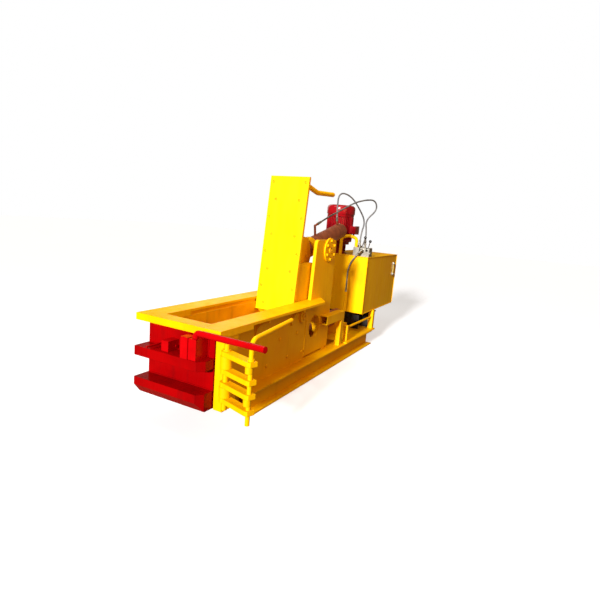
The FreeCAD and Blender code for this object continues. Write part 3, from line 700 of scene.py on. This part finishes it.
def makeFrameBolts():
    y0, z0 = boltLook["discCentre"]
    shapes = []
    for side in (1, -1):
        for number in range(6):
            turn = math.radians(30 + 60 * number)
            spot = (side * (boltLook["discFace"] - 0.001),
                    y0 + boltLook["discRadius"] * math.cos(turn),
                    z0 + boltLook["discRadius"] * math.sin(turn))
            shapes.append(turnedShape([(0, 0), (0.0155, 0), (0.0155, 0.003), (0, 0.003)],
                                      standing(spot, (side, 0, 0)), 20))
            spot = (side * (boltLook["discFace"] + 0.002), spot[1], spot[2])
            shapes.append(hexShape(boltLook["discBolt"], 0.012, standing(spot, (side, 0, 0))))
    makePiece("discBolts", shapes, "root", yellowEnamel)


makeFrameBolts()


def makePinEnds():
    # the turning pin's faced end with its lathe centre and a grease nipple
    for name, body, y, z, reach in (("trunnionEnds", "lid_cylinder", 0.209, 1.125, 0.247),
                                    ("lidShaftEnds", "lid", -0.227, 0.572, 0.257)):
        shapes = []
        for side in (1, -1):
            spot = standing((side * reach, y, z), (side, 0, 0))
            shapes.append(turnedShape([(0, 0), (0.0285, 0), (0.0285, 0.0015), (0.027, 0.003),
                                       (0.014, 0.003), (0.01, 0.0005), (0, 0.0005)], spot, 28))
            shapes.append(hexShape(0.009, 0.004,
                                   standing((side * (reach + 0.0005), y, z), (side, 0, 0))))
            shapes.append(turnedShape([(0, 0.004), (0.0025, 0.004), (0.0025, 0.008),
                                       (0.0035, 0.009),
                                       (0.0025, 0.011), (0, 0.011)],
                                      standing((side * reach, y, z), (side, 0, 0)), 12))
        makePiece(name, shapes, body, wornYellow)


makePinEnds()

lidLook = {"foot": (-0.328, 0.587), "lean": 5.7, "rows": 8, "pitch": 0.148, "first": 0.06,
           "across": 0.112,
           "stagger": 0.042}


def leanedPlace(x, depth, height):
    # a place on the upright lid, measured from its front face and foot, leaned back with it
    lean = math.radians(lidLook["lean"])
    y0, z0 = lidLook["foot"]
    return (x, y0 + depth * math.cos(lean) + height * math.sin(lean),
            z0 + height * math.cos(lean) - depth * math.sin(lean))


def makeLidScrews():
    # countersunk screws with a socket, sunk into the lid's face in a staggered row down each side
    lean = math.radians(lidLook["lean"])
    outward = (0, -math.cos(lean), math.sin(lean))
    head = [(0, 0), (0.0092, 0), (0.0096, 0.0026), (0.009, 0.0034), (0.0045, 0.0034),
            (0.004, 0.0008), (0, 0.0008)]
    shapes = []
    for row in range(lidLook["rows"]):
        height = lidLook["first"] + row * lidLook["pitch"]
        across = lidLook["across"] + lidLook["stagger"] * (row % 2)
        for side in (1, -1):
            shapes.append(turnedShape(head,
                                      standing(leanedPlace(side * across, 0.004, height), outward),
                                      18))
    makePiece("lidScrews", shapes, "lid", yellowEnamel)


makeLidScrews()
print("bolts made")


# level gauge: end blocks, acrylic tube, backing plate and screws
gaugeLook = {"face": 0.296, "middle": 2.078, "low": 0.77, "high": 0.94}


def makeGauge():
    face = gaugeLook["face"]
    y = gaugeLook["middle"]
    low = gaugeLook["low"]
    high = gaugeLook["high"]
    metal = [blockShape((0.003, 0.034, high - low), standing((face + 0.0015, y, (low + high) / 2)),
                        0.0008, 2)]
    for z in (low + 0.018, high - 0.018):
        metal.append(blockShape((0.016, 0.034, 0.034), standing((face + 0.009, y, z)), 0.003, 3))
        metal.append(turnedShape([(0, 0), (0.009, 0), (0.009, 0.008), (0.0075, 0.01), (0, 0.01)],
                                 standing((face + 0.015, y, z), (1, 0, 0)), 20))
    holder = makePiece("gaugeBlocks", metal, "root", zincSteel)
    tube = [turnedShape([(0, 0.03), (0.0075, 0.03), (0.0075, high - low - 0.03),
                         (0, high - low - 0.03)],
                        standing((face + 0.0105, y, low)), 24)]
    glass = makePiece("gaugeTube", tube, "root", gaugeAcrylic)
    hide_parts("level_gauge")
    return glass


makeGauge()


# filler breather: neck, knurled cap with a domed top
breatherLook = {"centre": (-0.18, 2.06), "low": 1.032, "ribs": 36}


def makeBreather():
    x, y = breatherLook["centre"]
    low = breatherLook["low"]
    upright = standing((x, y, low))
    neck = [(0, 0), (0.034, 0), (0.034, 0.005), (0.022, 0.006), (0.022, 0.026), (0.038, 0.027),
            (0.041, 0.03),
            (0.041, 0.062), (0.036, 0.07), (0.02, 0.0735), (0, 0.074)]
    shapes = [turnedShape(neck, upright, 48)]
    for number in range(breatherLook["ribs"]):
        turn = math.tau * number / breatherLook["ribs"]
        middle = Vector((x + 0.0405 * math.cos(turn), y + 0.0405 * math.sin(turn), low + 0.046))
        rib = Matrix.Translation(middle) @ Matrix.Rotation(turn, 4, "Z")
        shapes.append(blockShape((0.003, 0.0032, 0.03), rib, 0.0006, 1))
    for number in range(6):
        turn = math.tau * number / 6
        spot = (x + 0.028 * math.cos(turn), y + 0.028 * math.sin(turn), low + 0.004)
        shapes.append(hexShape(0.007, 0.004, standing(spot), 0.0005))
    cap = makePiece("fillerCap", shapes, "root", zincSteel)
    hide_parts("breather")


makeBreather()
print("tank fittings made")


# weld beads where plates meet
def makeWelds():
    side = 0.227
    frameLines = []
    for x in (side, -side):
        outer = x + math.copysign(0.001, x)
        frameLines += [
            ((outer, -0.14, 0.19), (outer, -0.14, 0.666)),
            ((outer, -1.30, 0.1695), (outer, 0.35, 0.1695)),
            ((outer, -1.145, 0.669), (outer, -0.15, 0.669)),
        ]
        for y in (-0.94, -0.415):
            for shift in (-0.0065, 0.0065):
                frameLines.append(((outer, y + shift, 0.545), (outer, y + shift, 0.668)))
        edge = math.copysign(0.297, x)
        frameLines += [
            ((edge, 1.0925, 0.41), (edge, 1.0925, 1.02)),
            ((edge, 2.2135, 0.41), (edge, 2.2135, 1.02)),
            ((edge, 1.1, 0.4), (edge, 2.205, 0.4)),
        ]
        leg = math.copysign(1, x)
        frameLines += [
            ((leg * 0.26, 0.489, 0.436), (leg * 0.302, 0.489, 0.436)),
            ((leg * 0.26, 0.489, 0.169), (leg * 0.302, 0.489, 0.169)),
            ((leg * 0.264, 1.434, 0.179), (leg * 0.316, 1.434, 0.179)),
            ((leg * 0.264, 1.434, 0.4), (leg * 0.295, 1.434, 0.4)),
            ((leg * 0.228, 0.152, 0.517), (leg * 0.228, 0.35, 0.517)),
            ((leg * 0.334, 0.62, 0.168), (leg * 0.334, 1.5, 0.168)),
        ]
    frameLines += [
        ((0.346, -1.455, 0.169), (0.346, -1.312, 0.169)),
        ((0.228, -1.309, 0.18), (0.228, -1.309, 0.642)),
        ((0.346, -1.312, 0.6425), (0.23, -1.312, 0.6425)),
    ]
    shapes = [beadShape(start, end, 0.0045) for start, end in frameLines]
    makePiece("frameWelds", shapes, "root", yellowEnamel, 70.0)
    doorLines = []
    for z in (0.436, 0.498, 0.29):
        doorLines.append(((-0.268, -1.456, z), (0.11 if z == 0.498 else 0.273, -1.456, z)))
    doorLines += [
        ((0.111, -1.456, 0.5), (0.111, -1.456, 0.63)),
        ((0.229, -1.456, 0.5), (0.229, -1.456, 0.628)),
        ((0.112, -1.575, 0.499), (0.112, -1.46, 0.499)),
    ]
    shapes = [beadShape(start, end, 0.005) for start, end in doorLines]
    makePiece("doorWelds", shapes, "door", redEnamel, 70.0)
    lidLines = []
    for x in (0.181, 0.1385, -0.181, -0.1385):
        top = 0.52 if abs(x) > 0.15 else 1.13
        low = 0.02 if abs(x) > 0.15 else 0.53
        lidLines.append((leanedPlace(x, 0.0265, low), leanedPlace(x, 0.0265, top)))
    shapes = [beadShape(start, end, 0.0045) for start, end in lidLines]
    makePiece("lidWelds", shapes, "lid", yellowEnamel, 70.0)


makeWelds()
print("welds laid")


# floor, light and background
lightLook = {
    "sunStrength": 6.4,
    "sunHeight": 17.0,  # degrees above the floor
    "sunTurn": 4.5,  # degrees from straight ahead of the door, towards the bar lock
    "fillPower": 20.0,
    "fillPlace": (1.9, -0.7, 2.1),
    "fillColour": "#FFCC90",
    "overheadPower": 50.0,
    "overheadPlace": (-0.4, -0.6, 3.4),
    "backPower": 24.0,
    "backPlace": (-3.0, 3.2, 2.6),
    "skyStrength": 0.2,
    "skyColour": "#FFDCB0",
}


def makeStage():
    shape = bmesh.new()
    bmesh.ops.create_grid(shape, x_segments=8, y_segments=8, size=30.0)
    mesh = bpy.data.meshes.new("studioFloor")
    shape.to_mesh(mesh)
    shape.free()
    floor = bpy.data.objects.new("studioFloor", mesh)
    material, shader = startMaterial("paleFloorPaint", {
        "Roughness": 0.8,
        "Specular IOR Level": 0.1,
        "Emission Color": (1, 1, 1, 1),
        "Emission Strength": 0.55,
    })
    place = addNode(material, "ShaderNodeTexCoord").outputs["Object"]
    cloud = addNode(material, "ShaderNodeTexNoise", None, {"Scale": 0.8, "Detail": 3.0},
                    {"Vector": place})
    colour = addNode(material, "ShaderNodeMix", {"data_type": "RGBA"},
                     {6: linearColour("#D2D3D6"), 7: linearColour("#CBCCD0")},
                     {0: cloud.outputs["Fac"]})
    material.node_tree.links.new(colour.outputs[2], shader.inputs["Base Color"])
    mesh.materials.append(material)
    bpy.context.collection.objects.link(floor)
    floor.visible_diffuse = False  # the pale floor lights nothing from below
    floor.visible_glossy = False


def addLight(name, kind, place, target, settings):
    lamp = bpy.data.lights.new(name, kind)
    for key, value in settings.items():
        setattr(lamp, key, value)
    light = bpy.data.objects.new(name, lamp)
    light.matrix_world = standing(place, Vector(place) - Vector(target))
    light.visible_camera = False
    bpy.context.collection.objects.link(light)


def makeLight():
    height = math.radians(lightLook["sunHeight"])
    turn = math.radians(lightLook["sunTurn"])
    way = Vector((math.sin(turn) * math.cos(height), -math.cos(turn) * math.cos(height),
                  math.sin(height)))
    addLight("keySun", "SUN", way * 6, (0, 0, 0),
             {"energy": lightLook["sunStrength"], "angle": 0.11})
    addLight("sideFill", "AREA", lightLook["fillPlace"], (0.2, 0.0, 0.8),
             {"energy": lightLook["fillPower"], "size": 1.6,
              "color": linearColour(lightLook["fillColour"])[:3]})
    addLight("overheadSoftbox", "AREA", lightLook["overheadPlace"], (0, -0.4, 0),
             {"energy": lightLook["overheadPower"], "size": 2.4})
    addLight("backFill", "AREA", lightLook["backPlace"], (0, 1.0, 0.6),
             {"energy": lightLook["backPower"], "size": 2.5})
    world = bpy.data.worlds.new("studio")
    world.use_nodes = True
    bpy.context.scene.world = world
    tree = world.node_tree
    tree.nodes.clear()
    rays = tree.nodes.new("ShaderNodeLightPath")
    seen = tree.nodes.new("ShaderNodeBackground")
    seen.inputs["Color"].default_value = (1, 1, 1, 1)
    sky = tree.nodes.new("ShaderNodeBackground")
    sky.inputs["Color"].default_value = linearColour(lightLook["skyColour"])
    sky.inputs["Strength"].default_value = lightLook["skyStrength"]
    mix = tree.nodes.new("ShaderNodeMixShader")
    out = tree.nodes.new("ShaderNodeOutputWorld")
    tree.links.new(rays.outputs["Is Camera Ray"], mix.inputs[0])
    tree.links.new(sky.outputs[0], mix.inputs[1])
    tree.links.new(seen.outputs[0], mix.inputs[2])
    tree.links.new(mix.outputs[0], out.inputs["Surface"])
    bpy.context.scene.view_settings.view_transform = "Standard"


makeStage()
makeLight()
print("stage and light set")
